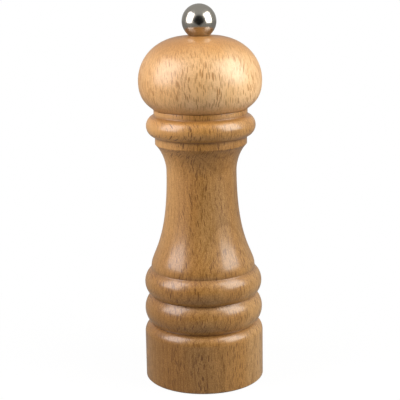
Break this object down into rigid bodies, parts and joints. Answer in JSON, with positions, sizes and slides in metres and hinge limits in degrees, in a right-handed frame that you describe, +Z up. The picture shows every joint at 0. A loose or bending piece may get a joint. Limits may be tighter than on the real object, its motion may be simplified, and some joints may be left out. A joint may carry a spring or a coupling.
{
  "type": "pepper mill",
  "caption": "Turned wooden pepper mill with a domed turning head, a steel ball that sets the grind, and burrs in the foot.",
  "frame": {"origin": "middle of the foot's rim, on the surface the mill stands on", "axes": "+Z up the mill's axis towards the ball; X runs along the retaining bar under the foot"},
  "size_m": [0.0654, 0.0654, 0.2039],
  "materials": {
    "body_wood": "satin varnish over tan beech",
    "head_wood": "satin varnish over honey beech",
    "polished_steel": "mirror polished",
    "bright_steel": "bright drawn",
    "plated_steel": "zinc plated",
    "screw_steel": "zinc plated",
    "hardened_steel": "dark hardened",
    "spring_steel": "oiled spring steel",
    "nylon": "moulded, matt"
  },
  "bodies": {
    "mill_body": {"body": "body_wood", "mechanism_housing": "plated_steel", "guide_bush": "nylon", "stator_ring": "hardened_steel", "retaining_bar": "plated_steel", "bar_screws": "screw_steel"},
    "spring_seat": {"thrust_washer": "plated_steel", "spring": "spring_steel"},
    "spindle": {"spindle": "bright_steel", "rotor": "hardened_steel", "rotor_washer": "plated_steel", "rotor_clip": "spring_steel"},
    "head": {"head": "head_wood", "drive_plate": "plated_steel", "drive_plate_screws": "screw_steel"},
    "knob": {"ball_knob": "polished_steel"}
  },
  "joints": [
    {"name": "head_turn", "type": "hinge", "parent": "mill_body", "child": "spring_seat", "pos_m": [0, 0, 0.03], "axis": [0, 0, 1], "continuous": true},
    {"name": "grind_adjust", "type": "slide", "parent": "spring_seat", "child": "spindle", "axis": [0, 0, 1], "range_m": [-0.0012, 0.0004], "deforming": ["spring"]},
    {"name": "head_lift", "type": "slide", "parent": "spring_seat", "child": "head", "axis": [0, 0, 1], "range_m": [0, 0.075]},
    {"name": "knob_turn", "type": "hinge", "parent": "head", "child": "knob", "pos_m": [0, 0, 0.1948], "axis": [0, 0, 1], "range_deg": [-180, 540]}
  ],
  "couplings": [
    {"joint": "knob_turn", "follows": "grind_adjust", "rad_per_m": -7853.9}
  ]
}
